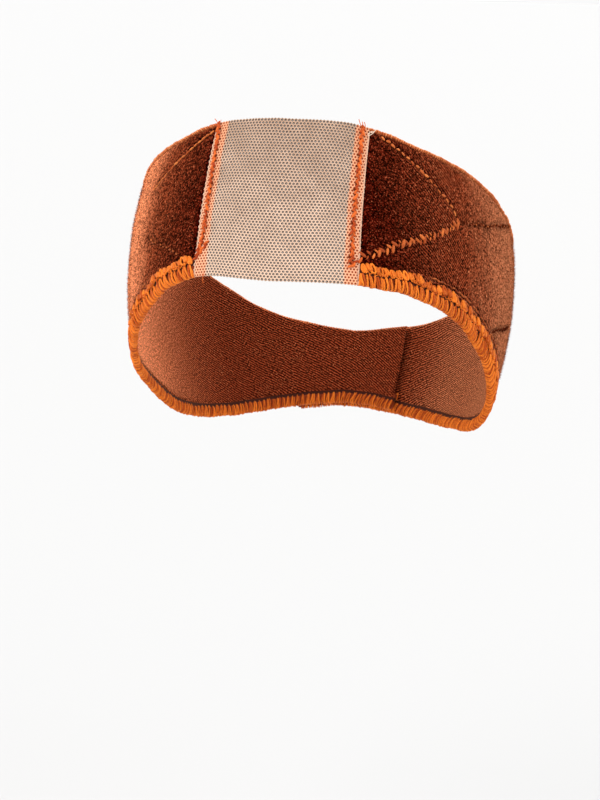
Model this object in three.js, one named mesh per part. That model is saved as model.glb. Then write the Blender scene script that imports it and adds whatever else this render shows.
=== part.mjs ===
// A wig grip band in its worn shape: a velvet loop with a fine net window in its front.
// Millimetres, +Z up. The front faces -Y, and +X is the right side as seen from the front.
// The origin is the middle of the opening.

import * as THREE from 'three';

// The domed form that the loop's inner face follows
const loopWidth = 146;
const loopLength = 187;
const domeHeight = 104;
const frontNarrowing = 0.07;
const domeFlat = 0.2;

// Heights of the band's two edges over the origin
const frontTopHeight = 69;
const frontBottomHeight = 14.4;
const backTopHeight = -30.9;
const backBottomHeight = -60;
const wornLean = 0.8;

// The net window and the turned seam allowances under its side edges
const netTopWidth = 53.8;
const netBottomWidth = 58;
const netLean = 0.7;
const netThickness = 1;
const stripWidth = 5;
const stripThickness = 1;

// The velvet, its overlocked lower edge and its rolled upper edge
const velvetThickness = 2;
const lowerEdgingHeight = 7.6;
const lowerEdgingThickness = 3;
const upperEdgingHeight = 1.5;
const upperEdgingThickness = 2.5;

// The fastening at the back
const strapOverlap = 44;
const overlapEase = 42;
const overlapSlack = 2;
const patchThickness = 1.2;
const patchMargin = 2;
const patchShowing = 9;

// The gap between neighbouring pieces
const clearance = 0.3;

// Mesh steps
const velvetRows = 9;
const sideSteps = 40;
const netRows = 12;
const netColumns = 16;
const patchSteps = 10;
const patchRows = 4;

// How far each edge has fallen, as a share of its fall from the front to the back.
// The turn is in degrees from the front. The band sits a little lower on its left side.
const edgeFalls = [
  { turn: 0, top: 0, bottomRight: 0, bottomLeft: 0 },
  { turn: 20, top: 0.02, bottomRight: 0.022, bottomLeft: 0.019 },
  { turn: 45, top: 0.12, bottomRight: 0.186, bottomLeft: 0.29 },
  { turn: 70, top: 0.238, bottomRight: 0.5, bottomLeft: 0.59 },
  { turn: 90, top: 0.37, bottomRight: 0.757, bottomLeft: 0.775 },
  { turn: 110, top: 0.525, bottomRight: 0.955, bottomLeft: 0.955 },
  { turn: 135, top: 0.735, bottomRight: 1.04, bottomLeft: 1.04 },
  { turn: 158, top: 0.93, bottomRight: 1.03, bottomLeft: 1.03 },
  { turn: 180, top: 1, bottomRight: 1, bottomLeft: 1 },
];

// Cross sections of the two edgings, as shares of their height and thickness
const lowerEdgingSection = [
  { height: 0.1, out: 0 },
  { height: 0.96, out: 0 },
  { height: 1, out: 0.2 },
  { height: 1, out: 0.66 },
  { height: 0.84, out: 0.94 },
  { height: 0.24, out: 1 },
  { height: 0, out: 0.74 },
  { height: 0, out: 0.2 },
];
const upperEdgingSection = [
  { height: 0.24, out: 0 },
  { height: 0.76, out: 0 },
  { height: 1, out: 0.28 },
  { height: 1, out: 0.72 },
  { height: 0.76, out: 1 },
  { height: 0.24, out: 1 },
  { height: 0, out: 0.72 },
  { height: 0, out: 0.28 },
];

const right = 1;
const left = -1;

const velvetColour = 0x7a3415;
const overlockColour = 0xe0702a;
const netColour = 0xe3c4ae;
const seamColour = 0xe08a55;
const patchColour = 0x5a2a16;

// The form

// How much narrower the form is at a height. It is never narrower than the dome's flat.
function formShrink(height) {
  return Math.sqrt(Math.max(1 - (height / domeHeight) ** 2, domeFlat ** 2));
}

function formRadius(turn, height) {
  const halfWidth = (loopWidth / 2) * (1 - frontNarrowing * Math.cos(turn));
  const across = Math.sin(turn) / halfWidth;
  const along = Math.cos(turn) / (loopLength / 2);
  return formShrink(height) / Math.hypot(across, along);
}

function formPoint(turn, height) {
  const radius = formRadius(turn, height);
  return new THREE.Vector3(radius * Math.sin(turn), -radius * Math.cos(turn), height);
}

function formNormal(turn, height) {
  const step = 0.002;
  const around = formPoint(turn + step, height).sub(formPoint(turn - step, height));
  const up = formPoint(turn, height + step).sub(formPoint(turn, height - step));
  return around.cross(up).normalize();
}

// A point lifted off the form
function liftedPoint(turn, height, lift) {
  return formPoint(turn, height).addScaledVector(formNormal(turn, height), lift);
}

// The turn at which the form is this far to the side of the middle
function turnAcross(across, height) {
  let turn = 0;
  for (let pass = 0; pass < 12; pass += 1) {
    turn = Math.asin(across / formRadius(turn, height));
  }
  return turn;
}

// The band's edges

function fallCurve(column) {
  const turns = edgeFalls.map((row) => row.turn);
  const curve = new THREE.CubicInterpolant(turns, edgeFalls.map((row) => row[column]), 1);
  curve.settings = { endingStart: THREE.ZeroSlopeEnding, endingEnd: THREE.ZeroSlopeEnding };
  return curve;
}

const fallCurves = {
  top: fallCurve('top'),
  bottomRight: fallCurve('bottomRight'),
  bottomLeft: fallCurve('bottomLeft'),
};

function fallAt(column, turn) {
  const degrees = Math.abs(THREE.MathUtils.radToDeg(turn));
  const folded = 180 - Math.abs(180 - degrees);
  return fallCurves[column].evaluate(folded)[0];
}

function topHeight(turn) {
  const fall = frontTopHeight - backTopHeight;
  return frontTopHeight - fall * fallAt('top', turn) + wornLean * Math.sin(turn);
}

function bottomHeight(turn) {
  const fall = frontBottomHeight - backBottomHeight;
  const column = Math.sin(turn) < 0 ? 'bottomLeft' : 'bottomRight';
  return frontBottomHeight - fall * fallAt(column, turn) + wornLean * Math.sin(turn);
}

// The height at a distance square to one of the band's edges
function heightFromEdge(edgeHeight, turn, distance) {
  const step = 0.01;
  const edge = formPoint(turn, edgeHeight(turn));
  const along = formPoint(turn + step, edgeHeight(turn + step)).sub(edge).normalize();
  const rise = formPoint(turn, edgeHeight(turn) + 1).sub(edge);
  return edgeHeight(turn) + distance / rise.cross(along).length();
}

function heightOverBottom(turn, distance) {
  return heightFromEdge(bottomHeight, turn, distance);
}

function heightUnderTop(turn, distance) {
  return heightFromEdge(topHeight, turn, -distance);
}

// The net's side edges

function netAcross(side, share) {
  const halfWidth = THREE.MathUtils.lerp(netBottomWidth, netTopWidth, share) / 2;
  return side * halfWidth + netLean * (share - 0.5);
}

// The turn this far outside the net's side edge, on a line whose height follows the turn
function besideNet(side, outside, heightAt) {
  let turn = 0;
  for (let pass = 0; pass < 8; pass += 1) {
    const height = heightAt(turn);
    const share = THREE.MathUtils.inverseLerp(bottomHeight(turn), topHeight(turn), height);
    turn = turnAcross(netAcross(side, share) + side * outside, height);
  }
  return turn;
}

function heightAtShare(turn, share) {
  return THREE.MathUtils.lerp(bottomHeight(turn), topHeight(turn), share);
}

// The back, where the right strap end lies over the left one

const backRadius = formRadius(Math.PI, (backTopHeight + backBottomHeight) / 2);
const strapEndTurn = Math.PI + strapOverlap / 2 / backRadius;
const outerStrapLift =
  Math.max(velvetThickness + clearance + patchThickness, lowerEdgingThickness, upperEdgingThickness)
  + clearance;

// How far a strap is lifted off the form at a turn
function strapLift(side, turn) {
  if (side === left) {
    return 0;
  }
  const liftedBy = 2 * Math.PI - strapEndTurn - overlapSlack / backRadius;
  const liftedFrom = liftedBy - overlapEase / backRadius;
  return outerStrapLift * THREE.MathUtils.smoothstep(turn, liftedFrom, liftedBy);
}

// Solids

// Turns every face outwards
function facingOut(positions, faces) {
  const a = new THREE.Vector3();
  const b = new THREE.Vector3();
  const c = new THREE.Vector3();
  let volume = 0;
  for (const [i, j, k] of faces) {
    a.copy(positions[i]);
    volume += a.dot(b.copy(positions[j]).cross(c.copy(positions[k])));
  }
  return volume < 0 ? faces.map(([i, j, k]) => [i, k, j]) : faces;
}

function solidGeometry(positions, faces) {
  const geometry = new THREE.BufferGeometry();
  const numbers = positions.flatMap((point) => point.toArray());
  geometry.setAttribute('position', new THREE.Float32BufferAttribute(numbers, 3));
  geometry.setIndex(facingOut(positions, faces).flat());
  geometry.computeVertexNormals();
  return geometry;
}

// A closed solid through rings of points, with both ends covered
function loft(rings) {
  const count = rings[0].length;
  const faces = [];
  const addQuad = (a, b, c, d) => faces.push([a, b, c], [a, c, d]);
  for (let ring = 0; ring < rings.length - 1; ring += 1) {
    for (let i = 0; i < count; i += 1) {
      const next = (i + 1) % count;
      const start = ring * count;
      addQuad(start + i, start + next, start + count + next, start + count + i);
    }
  }
  const last = (rings.length - 1) * count;
  for (let i = 0; i < count / 2 - 1; i += 1) {
    addQuad(count - 1 - i, count - 2 - i, i + 1, i);
    addQuad(last + i, last + i + 1, last + count - 2 - i, last + count - 1 - i);
  }
  return solidGeometry(rings.flat(), faces);
}

// A ring round the thickness of a cloth: up its inner face and down its outer face
function clothRing(rows, thickness, placeAt) {
  const inner = [];
  const outer = [];
  for (let row = 0; row <= rows; row += 1) {
    const { turn, height, lift } = placeAt(row / rows);
    inner.push(liftedPoint(turn, height, lift));
    outer.unshift(liftedPoint(turn, height, lift + thickness));
  }
  return [...inner, ...outer];
}

function clothSheet(columns, rows, thickness, placeAt) {
  const rings = [];
  for (let column = 0; column <= columns; column += 1) {
    rings.push(clothRing(rows, thickness, (share) => placeAt(column / columns, share)));
  }
  return loft(rings);
}

// The height at a share of the velvet between the two edgings
function velvetHeight(turn, share) {
  const low = heightOverBottom(turn, lowerEdgingHeight + clearance);
  const high = heightUnderTop(turn, upperEdgingHeight + clearance);
  return THREE.MathUtils.lerp(low, high, share);
}

function velvetSide(side) {
  return clothSheet(sideSteps, velvetRows, velvetThickness, (along, share) => {
    const start = besideNet(side, clearance, (turn) => velvetHeight(turn, share));
    const turn = THREE.MathUtils.lerp(start, side * strapEndTurn, along);
    return { turn, height: velvetHeight(turn, share), lift: strapLift(side, Math.abs(turn)) };
  });
}

function edging(side, section, size, heightAt) {
  const placeAt = (along, point) => {
    const distance = point.height * size.height;
    const start = besideNet(side, clearance, (turn) => heightAt(turn, distance));
    const turn = THREE.MathUtils.lerp(start, side * strapEndTurn, along);
    const lift = strapLift(side, Math.abs(turn)) + point.out * size.thickness;
    return liftedPoint(turn, heightAt(turn, distance), lift);
  };
  const rings = [];
  for (let step = 0; step <= sideSteps; step += 1) {
    rings.push(section.map((point) => placeAt(step / sideSteps, point)));
  }
  return loft(rings);
}

function lowerEdging(side) {
  const size = { height: lowerEdgingHeight, thickness: lowerEdgingThickness };
  return edging(side, lowerEdgingSection, size, heightOverBottom);
}

function upperEdging(side) {
  const size = { height: upperEdgingHeight, thickness: upperEdgingThickness };
  return edging(side, upperEdgingSection, size, heightUnderTop);
}

// The net lies over the two seam strips
function netPanel() {
  const lift = stripThickness + clearance;
  return clothSheet(netColumns, netRows, netThickness, (along, share) => {
    const from = besideNet(left, 0, (turn) => heightAtShare(turn, share));
    const to = besideNet(right, 0, (turn) => heightAtShare(turn, share));
    const turn = THREE.MathUtils.lerp(from, to, along);
    return { turn, height: heightAtShare(turn, share), lift };
  });
}

function seamStrip(side) {
  return clothSheet(2, netRows, stripThickness, (along, share) => {
    const turn = besideNet(side, -stripWidth * along, (at) => heightAtShare(at, share));
    return { turn, height: heightAtShare(turn, share), lift: 0 };
  });
}

// The hook and loop patch lies on the left strap, under the right one and a little past it
function closurePatch() {
  const rightStrapEnd = 2 * Math.PI - strapEndTurn;
  const from = -strapEndTurn + patchMargin / backRadius;
  const to = -rightStrapEnd + patchShowing / backRadius;
  return clothSheet(patchSteps, patchRows, patchThickness, (along, share) => {
    const turn = THREE.MathUtils.lerp(from, to, along);
    const low = heightOverBottom(turn, lowerEdgingHeight + patchMargin);
    const high = heightUnderTop(turn, upperEdgingHeight + patchMargin);
    const height = THREE.MathUtils.lerp(low, high, share);
    return { turn, height, lift: velvetThickness + clearance };
  });
}

// The assembly

function cloth(color, roughness) {
  return new THREE.MeshStandardMaterial({ color, roughness, metalness: 0 });
}

const wigGripBand = new THREE.Group();

function addPiece(name, geometry, color, roughness) {
  const piece = new THREE.Mesh(geometry, cloth(color, roughness));
  piece.name = name;
  wigGripBand.add(piece);
}

addPiece('lace_panel', netPanel(), netColour, 0.8);
for (const [side, word] of [[left, 'left'], [right, 'right']]) {
  addPiece(`seam_strip_${word}`, seamStrip(side), seamColour, 0.85);
  addPiece(`velvet_side_${word}`, velvetSide(side), velvetColour, 0.95);
  addPiece(`lower_edging_${word}`, lowerEdging(side), overlockColour, 0.7);
  addPiece(`upper_edging_${word}`, upperEdging(side), overlockColour, 0.7);
}
addPiece('closure_patch', closurePatch(), patchColour, 0.95);

export default wigGripBand;
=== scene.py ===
import math

import bpy
import numpy as np
from mathutils import Matrix, Vector, noise


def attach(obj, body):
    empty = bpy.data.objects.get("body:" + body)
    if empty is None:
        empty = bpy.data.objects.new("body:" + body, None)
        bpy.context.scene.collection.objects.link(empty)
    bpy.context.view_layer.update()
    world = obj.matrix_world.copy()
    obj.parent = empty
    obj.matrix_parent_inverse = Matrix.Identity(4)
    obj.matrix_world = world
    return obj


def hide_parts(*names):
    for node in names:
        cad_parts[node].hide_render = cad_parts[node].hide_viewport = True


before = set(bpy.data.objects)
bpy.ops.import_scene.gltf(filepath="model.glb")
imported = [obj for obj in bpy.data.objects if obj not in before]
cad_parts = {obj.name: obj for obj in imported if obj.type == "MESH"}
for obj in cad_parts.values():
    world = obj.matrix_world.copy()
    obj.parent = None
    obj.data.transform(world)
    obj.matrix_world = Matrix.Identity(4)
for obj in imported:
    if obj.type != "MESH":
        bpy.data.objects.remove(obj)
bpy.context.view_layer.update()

scene = bpy.context.scene
left, right = -1, 1
sides = {"left": left, "right": right}
mm = 0.001


# Nodes: sums on sockets are written as plain expressions

class Wire:
    def __init__(self, graph, socket):
        self.graph, self.socket = graph, socket

    def sum(self, operation, first, second):
        isVector = any(isinstance(x, Wire) and x.socket.type in ("VECTOR", "RGBA") for x in (first, second))
        kind = "ShaderNodeVectorMath" if isVector else "ShaderNodeMath"
        return self.graph.add(kind, {"operation": operation}, {0: first, 1: second})[0]

    def __add__(self, other):
        return self.sum("ADD", self, other)

    def __radd__(self, other):
        return self.sum("ADD", other, self)

    def __sub__(self, other):
        return self.sum("SUBTRACT", self, other)

    def __rsub__(self, other):
        return self.sum("SUBTRACT", other, self)

    def __mul__(self, other):
        return self.sum("MULTIPLY", self, other)

    def __rmul__(self, other):
        return self.sum("MULTIPLY", other, self)

    def __truediv__(self, other):
        return self.sum("DIVIDE", self, other)

    def __rtruediv__(self, other):
        return self.sum("DIVIDE", other, self)

    def __mod__(self, other):
        return self.sum("FLOORED_MODULO", self, other)

    def __rmod__(self, other):
        return self.sum("FLOORED_MODULO", other, self)

    def __neg__(self):
        return self.sum("MULTIPLY", self, -1.0)


class Made:
    def __init__(self, graph, node):
        self.graph, self.node = graph, node

    def __getitem__(self, key):
        return Wire(self.graph, self.node.outputs[key])


class Graph:
    def __init__(self, tree):
        self.tree = tree

    # One node: its settings first, then the values or links of its sockets
    def add(self, kind, settings=None, sockets=None):
        node = self.tree.nodes.new(kind)
        for name, value in (settings or {}).items():
            setattr(node, name, value)
        for key, value in (sockets or {}).items():
            links = value if isinstance(value, list) else [value]
            for one in links:
                if isinstance(one, Wire):
                    self.tree.links.new(one.socket, node.inputs[key])
                else:
                    node.inputs[key].default_value = one
        return Made(self, node)

    def call(self, operation, *values):
        return self.add("ShaderNodeMath", {"operation": operation}, dict(enumerate(values)))[0]

    # How far a value has come from low to high, as 0 to 1
    def between(self, value, low, high, smooth=True):
        how = "SMOOTHSTEP" if smooth else "LINEAR"
        sockets = {"Value": value, "From Min": low, "From Max": high}
        return self.add("ShaderNodeMapRange", {"interpolation_type": how}, sockets)[0]

    def mix(self, factor, first, second, blend="MIX"):
        pair = [(*x, 1.0) if isinstance(x, tuple) else x for x in (first, second)]
        settings = {"data_type": "RGBA", "blend_type": blend}
        return self.add("ShaderNodeMix", settings, {0: factor, 6: pair[0], 7: pair[1]})[2]

    def vector(self, x, y, z):
        return self.add("ShaderNodeCombineXYZ", None, {0: x, 1: y, 2: z})[0]

    def parts(self, vector):
        made = self.add("ShaderNodeSeparateXYZ", None, {0: vector})
        return made[0], made[1], made[2]

    def noise(self, place, scale, detail=2.0, roughness=0.5):
        sockets = {"Vector": place, "Scale": scale, "Detail": detail, "Roughness": roughness}
        return self.add("ShaderNodeTexNoise", None, sockets)[0]


# A sewing tree: named inputs and the mesh that comes out. An empty text stands for a mesh that
# goes in, and every tree takes a finish.
class Pattern(Graph):
    def __init__(self, name, **inputs):
        super().__init__(bpy.data.node_groups.new(name, "GeometryNodeTree"))
        kinds = {float: "NodeSocketFloat", int: "NodeSocketInt", str: "NodeSocketGeometry"}
        for label, value in inputs.items():
            socket = self.tree.interface.new_socket(label, in_out="INPUT", socket_type=kinds[type(value)])
            if value != "":
                socket.default_value = value
        self.tree.interface.new_socket("finish", in_out="INPUT", socket_type="NodeSocketMaterial")
        self.tree.interface.new_socket("cloth", in_out="OUTPUT", socket_type="NodeSocketGeometry")
        self.entry = self.add("NodeGroupInput")

    def __getattr__(self, label):
        return self.entry[label]

    # Makes copies a real mesh with its finish, over the body that they belong to, if there is one
    def finishWith(self, copies, body=None):
        done = self.add("GeometryNodeJoinGeometry", None, {"Geometry": copies})[0]
        done = self.add("GeometryNodeRealizeInstances", None, {"Geometry": done})[0]
        done = self.add("GeometryNodeSetMaterial", None, {"Geometry": done, "Material": self.finish})[0]
        if body:
            done = self.add("GeometryNodeJoinGeometry", None, {"Geometry": [body, done]})[0]
        done = self.add("GeometryNodeSetShadeSmooth", None, {"Geometry": done, "Shade Smooth": True})[0]
        self.add("NodeGroupOutput", None, {0: done})
        return self

    # Stores a value on each point or copy, for the finish to read
    def keep(self, geometry, name, value, domain="POINT"):
        settings = {"data_type": "FLOAT", "domain": domain}
        sockets = {"Geometry": geometry, "Name": name, "Value": value}
        return self.add("GeometryNodeStoreNamedAttribute", settings, sockets)[0]

    def random(self, low, high, seed):
        sockets = {"Min": low, "Max": high, "Seed": seed}
        return self.add("FunctionNodeRandomValue", {"data_type": "FLOAT"}, sockets)[1]

    # A yes or no: whether the first value is larger than the second
    def larger(self, first, second):
        settings = {"data_type": "FLOAT", "operation": "GREATER_THAN"}
        return self.add("FunctionNodeCompare", settings, {0: first, 1: second})[0]

    def position(self):
        return self.add("GeometryNodeInputPosition")[0]

    def move(self, geometry, **sockets):
        return self.add("GeometryNodeSetPosition", None, {"Geometry": geometry, **sockets})[0]

    def transform(self, geometry, **sockets):
        return self.add("GeometryNodeTransform", None, {"Geometry": geometry, **sockets})[0]

    def copy(self, points, shape, **sockets):
        sockets = {"Points": points, "Instance": shape, **sockets}
        return self.add("GeometryNodeInstanceOnPoints", None, sockets)[0]

    def index(self):
        return self.add("GeometryNodeInputIndex")[0]

    # Runs the tree once and gives its plain mesh
    def make(self, name, values, start=None):
        worker = bpy.data.objects.new(name, start or bpy.data.meshes.new(name))
        scene.collection.objects.link(worker)
        modifier = worker.modifiers.new("make", "NODES")
        modifier.node_group = self.tree
        for item in self.tree.interface.items_tree:
            if item.in_out == "INPUT" and item.name in values:
                modifier[item.identifier] = values[item.name]
        evaluated = worker.evaluated_get(bpy.context.evaluated_depsgraph_get())
        mesh = bpy.data.meshes.new_from_object(evaluated)
        worker.modifiers.remove(modifier)
        bpy.data.objects.remove(worker)
        return mesh


# The form that the band follows, the same sums as the part's own solids, in metres

# The loop's inner width and length, and how it closes like a dome towards the top
form = {"loopWidth": 0.146, "loopLength": 0.187, "domeHeight": 0.104, "frontNarrowing": 0.07, "domeFlat": 0.2}
# Heights of the edges at the front and the back, and how much of the fall between them is reached
# at each turn in degrees from the front
edges = {
    "frontTop": 0.069, "frontBottom": 0.0144, "backTop": -0.0309, "backBottom": -0.06, "wornLean": 0.0008,
    "turns": (0, 20, 45, 70, 90, 110, 135, 158, 180),
    "top": (0, 0.02, 0.12, 0.238, 0.37, 0.525, 0.735, 0.93, 1),
    "bottomRight": (0, 0.022, 0.186, 0.5, 0.757, 0.955, 1.04, 1.03, 1),
    "bottomLeft": (0, 0.019, 0.29, 0.59, 0.775, 0.955, 1.04, 1.03, 1),
}
# How far the strap ends overlap, and how the outer one rises over the inner one
straps = {"overlap": 0.044, "ease": 0.042, "slack": 0.002, "outerLift": 0.0038}


def shrinkAt(height):
    return np.sqrt(np.maximum(1 - (height / form["domeHeight"]) ** 2, form["domeFlat"] ** 2))


def radiusAt(turn, height):
    halfWidth = form["loopWidth"] / 2 * (1 - form["frontNarrowing"] * np.cos(turn))
    return shrinkAt(height) / np.hypot(np.sin(turn) / halfWidth, np.cos(turn) / (form["loopLength"] / 2))


def formPoint(turn, height):
    radius = radiusAt(turn, height)
    return np.stack([radius * np.sin(turn), -radius * np.cos(turn), height + 0 * turn], axis=-1)


def unit(vectors):
    return vectors / np.linalg.norm(vectors, axis=-1, keepdims=True)


def formNormal(turn, height, turnStep=0.002, heightStep=2e-6):
    around = formPoint(turn + turnStep, height) - formPoint(turn - turnStep, height)
    rise = formPoint(turn, height + heightStep) - formPoint(turn, height - heightStep)
    return unit(np.cross(around, rise))


def liftedPoint(turn, height, lift):
    return formPoint(turn, height) + formNormal(turn, height) * np.asarray(lift)[..., None]


# A smooth curve through the table's shares, level at both ends
def fallAt(column, turn):
    turns = np.array(edges["turns"], float)
    shares = np.array(edges[column], float)
    at = 180 - np.abs(180 - np.abs(np.degrees(turn)))
    i = np.clip(np.searchsorted(turns, at, side="right"), 1, len(turns) - 1)
    t0, t1 = turns[i - 1], turns[i]
    before = np.where(i > 1, turns[np.maximum(i - 2, 0)], 2 * t0 - t1)
    after = np.where(i < len(turns) - 1, turns[np.minimum(i + 1, len(turns) - 1)], 2 * t1 - t0)
    vBefore = np.where(i > 1, shares[np.maximum(i - 2, 0)], shares[i])
    vAfter = np.where(i < len(turns) - 1, shares[np.minimum(i + 1, len(turns) - 1)], shares[i])
    wBefore, wAfter = (t1 - t0) / 2 / (t0 - before), (t1 - t0) / 2 / (after - t1)
    p = (at - t0) / (t1 - t0)
    return (
        (-wBefore * p ** 3 + 2 * wBefore * p ** 2 - wBefore * p) * vBefore
        + ((1 + wBefore) * p ** 3 + (-1.5 - 2 * wBefore) * p ** 2 + (-0.5 + wBefore) * p + 1) * shares[i - 1]
        + ((-1 - wAfter) * p ** 3 + (1.5 + wAfter) * p ** 2 + 0.5 * p) * shares[i]
        + (wAfter * p ** 3 - wAfter * p ** 2) * vAfter
    )


def topHeight(turn):
    fall = edges["frontTop"] - edges["backTop"]
    return edges["frontTop"] - fall * fallAt("top", turn) + edges["wornLean"] * np.sin(turn)


def bottomHeight(turn):
    fall = edges["frontBottom"] - edges["backBottom"]
    share = np.where(np.sin(turn) < 0, fallAt("bottomLeft", turn), fallAt("bottomRight", turn))
    return edges["frontBottom"] - fall * share + edges["wornLean"] * np.sin(turn)


# How much a rise of one unit of height moves a point square to the edge
def squareRise(edgeHeight, turn, turnStep=0.01, heightStep=0.001):
    edge = formPoint(turn, edgeHeight(turn))
    along = unit(formPoint(turn + turnStep, edgeHeight(turn + turnStep)) - edge)
    rise = (formPoint(turn, edgeHeight(turn) + heightStep) - edge) / heightStep
    return np.linalg.norm(np.cross(rise, along), axis=-1)


def heightAtShare(turn, share):
    return bottomHeight(turn) + (topHeight(turn) - bottomHeight(turn)) * share


# The opening for the net, and the gaps from its side edges to the velvet and the edgings. A gap
# below nought is an overlap.
netCut = {
    "topWidth": 0.0538, "bottomWidth": 0.058, "lean": 0.0007, "velvetGap": -0.0001, "edgingGap": -0.0005,
}


def netAcross(side, share):
    halfWidth = (netCut["bottomWidth"] + (netCut["topWidth"] - netCut["bottomWidth"]) * share) / 2
    return side * halfWidth + netCut["lean"] * (share - 0.5)


# The turn beside the net at a height that itself changes with the turn, closed in on by repeating
def besideNet(side, outside, heightAt, rounds=8, turnRounds=12):
    turn = np.zeros(1)
    for _ in range(rounds):
        height = heightAt(turn)
        share = (height - bottomHeight(turn)) / (topHeight(turn) - bottomHeight(turn))
        across = netAcross(side, share) + side * outside
        turn = np.zeros(1)
        for _ in range(turnRounds):
            turn = np.arcsin(across / radiusAt(turn, height))
    return turn[0]


def sideEdgeTurns(side, outside, shares):
    return np.array([
        besideNet(side, outside, lambda turn, share=share: heightAtShare(turn, share)) for share in shares])


backRadius = radiusAt(np.array(math.pi), np.array((edges["backTop"] + edges["backBottom"]) / 2))
strapEnd = float(math.pi + straps["overlap"] / 2 / backRadius)


def strapLift(side, turn):
    if side == left:
        return 0 * turn
    liftedBy = 2 * math.pi - strapEnd - straps["slack"] / backRadius
    ease = straps["ease"] / backRadius
    share = np.clip((np.abs(turn) - liftedBy + ease) / ease, 0, 1)
    return straps["outerLift"] * share * share * (3 - 2 * share)


# Laying flat sewing onto the form. A flat pattern has x along the cloth from the net,
# y across it from an edge and z out of it.

def lengthsAlong(points):
    return np.concatenate([[0], np.cumsum(np.linalg.norm(np.diff(points, axis=0), axis=1))])


# Runs along the top or bottom edge. inward is 1 where the cloth lies above the edge.
class EdgeLay:
    def __init__(self, side, edgeHeight, inward, samples=900):
        self.side, self.edgeHeight, self.inward = side, edgeHeight, inward
        start = besideNet(side, netCut["edgingGap"], edgeHeight)
        self.turns = np.linspace(start, side * strapEnd, samples)
        middleOfRoll = 0.001
        lift = strapLift(side, self.turns) + middleOfRoll
        self.lengths = lengthsAlong(liftedPoint(self.turns, edgeHeight(self.turns), lift))
        self.length = float(self.lengths[-1])

    # A step square to the edge, in the surface
    def place(self, flat, wideStep=0.004, turnStep=1e-4, heightStep=1e-5):
        turn = np.interp(flat[:, 0], self.lengths, self.turns)
        height = self.edgeHeight(turn)
        before, after = turn - wideStep, turn + wideStep
        along = unit(formPoint(after, self.edgeHeight(after)) - formPoint(before, self.edgeHeight(before)))
        up = unit(np.cross(formNormal(turn, height), along))
        across = formPoint(turn + turnStep, height) - formPoint(turn - turnStep, height)
        rise = formPoint(turn, height + heightStep) - formPoint(turn, height - heightStep)
        across, rise = across / (2 * turnStep), rise / (2 * heightStep)
        wanted = up * (flat[:, 1] * self.inward)[:, None]
        aa, ar, rr = (across * across).sum(1), (across * rise).sum(1), (rise * rise).sum(1)
        wa, wr = (wanted * across).sum(1), (wanted * rise).sum(1)
        scale = aa * rr - ar * ar
        moved = turn + (wa * rr - wr * ar) / scale
        movedHeight = height + (wr * aa - wa * ar) / scale
        return liftedPoint(moved, movedHeight, strapLift(self.side, moved) + flat[:, 2])


# Covers a velvet side, from the net to the strap end
class FaceLay:
    def __init__(self, side, samples=900, startSamples=33):
        self.side = side
        self.starts = np.linspace(0, 1, startSamples)
        self.startTurns = sideEdgeTurns(side, netCut["velvetGap"], self.starts)
        start = float(np.interp(0.5, self.starts, self.startTurns))
        self.turns = np.linspace(start, side * strapEnd, samples)
        middle = (bottomHeight(self.turns) + topHeight(self.turns)) / 2
        self.lengths = lengthsAlong(formPoint(self.turns, middle))
        self.length = float(self.lengths[-1])

    def width(self, turn):
        return (topHeight(turn) - bottomHeight(turn)) * squareRise(bottomHeight, turn)

    # The flat x of a turn in degrees, and the flat y of a share of the width
    def flat(self, degrees, share):
        turn = np.radians(np.asarray(degrees, float))
        order = np.argsort(self.turns)
        x = np.interp(turn, self.turns[order], self.lengths[order])
        return x, self.width(turn) * np.asarray(share, float)

    def place(self, flat):
        along = flat[:, 0] / self.length
        middleTurn = np.interp(flat[:, 0], self.lengths, self.turns)
        share = flat[:, 1] / self.width(middleTurn)
        start = np.interp(share, self.starts, self.startTurns)
        turn = start + (self.side * strapEnd - start) * along
        height = heightAtShare(turn, share)
        return liftedPoint(turn, height, strapLift(self.side, turn) + flat[:, 2])


# Covers the net, with x from its middle. It tapers as the net does and reaches a little past it.
class NetLay:
    def __init__(self, samples=54, past=0.03, lineSamples=60):
        self.shares = np.linspace(-past, 1 + past, samples)
        self.across = {side: sideEdgeTurns(side, 0.0, self.shares) for side in (left, right)}
        self.width = (netCut["topWidth"] + netCut["bottomWidth"]) / 2
        heights = np.linspace(edges["frontBottom"], edges["frontTop"], lineSamples)
        line = formPoint(np.zeros(lineSamples), heights)
        self.height = float(np.linalg.norm(np.diff(line, axis=0), axis=1).sum())

    def place(self, flat):
        share = flat[:, 1] / self.height
        low = np.interp(share, self.shares, self.across[left])
        high = np.interp(share, self.shares, self.across[right])
        turn = low + (high - low) * (flat[:, 0] / self.width + 0.5)
        return liftedPoint(turn, heightAtShare(turn, share), flat[:, 2])


# Lays a flat mesh on the form, keeps its flat places for the materials and turns its faces out
def lay(mesh, place, name):
    count = len(mesh.vertices)
    flat = np.empty(count * 3)
    mesh.vertices.foreach_get("co", flat)
    flat = flat.reshape(-1, 3)
    mesh.attributes.new("flat", "FLOAT_VECTOR", "POINT").data.foreach_set("vector", flat.ravel())
    placed = place(flat)
    mesh.vertices.foreach_set("co", placed.astype(np.float32).ravel())
    mesh.calc_loop_triangles()
    corners = np.empty(len(mesh.loop_triangles) * 3, np.int32)
    mesh.loop_triangles.foreach_get("vertices", corners)
    a, b, c = (placed[corners.reshape(-1, 3)[:, k]] for k in range(3))
    if (a * np.cross(b, c)).sum() < 0:
        mesh.flip_normals()
    mesh.update()
    mesh.name = name
    piece = bpy.data.objects.new(name, mesh)
    scene.collection.objects.link(piece)
    return piece


def smoothMesh(name, points, faces, finish):
    mesh = bpy.data.meshes.new(name)
    mesh.from_pydata(points, [], faces)
    mesh.polygons.foreach_set("use_smooth", [True] * len(mesh.polygons))
    mesh.materials.append(finish)
    mesh.update()
    return mesh


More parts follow.
